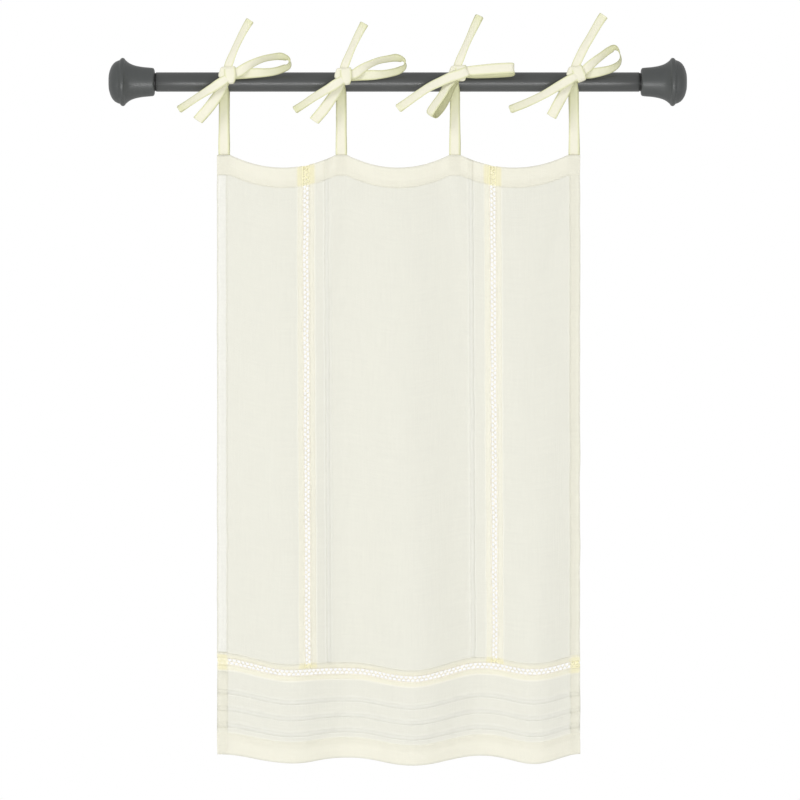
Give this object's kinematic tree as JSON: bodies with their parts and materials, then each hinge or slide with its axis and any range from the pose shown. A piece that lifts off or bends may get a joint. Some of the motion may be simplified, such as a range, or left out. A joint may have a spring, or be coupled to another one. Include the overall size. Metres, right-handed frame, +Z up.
{
  "type": "cafe curtain on tension rod",
  "caption": "Sheer linen cafe curtain with openwork lace insertions, pin tucks and a scalloped top, tied by tape bows to a dark tension rod with turned rubber ends.",
  "frame": {"origin": "middle of the left end cap's flat end face, which presses on the left wall", "axes": "+X along the rod from the left wall to the right one, +Z up, -Y towards the room and +Y towards the window"},
  "size_m": [0.716, 0.0615, 0.9301],
  "materials": {
    "linen": "sheer natural linen, plain weave with slubs",
    "lace": "narrow cotton openwork strip",
    "tie_tape": "narrow woven linen tape",
    "rod_steel": "satin dark grey powder coat",
    "plug_plastic": "black moulded plastic",
    "cap_rubber": "dark grey matt rubber"
  },
  "bodies": {
    "root": {"panel_left": "linen", "panel_centre": "linen", "panel_right": "linen", "bottom_band": "linen", "lace_left": "lace", "lace_right": "lace", "lace_cross": "lace", "tie_1": "tie_tape", "tie_2": "tie_tape", "tie_3": "tie_tape", "tie_4": "tie_tape", "rod_tube": "rod_steel", "rod_plug_left": "plug_plastic", "rod_plug_right": "plug_plastic", "end_cap_left": "cap_rubber", "end_cap_right": "cap_rubber"}
  },
  "joints": []
}
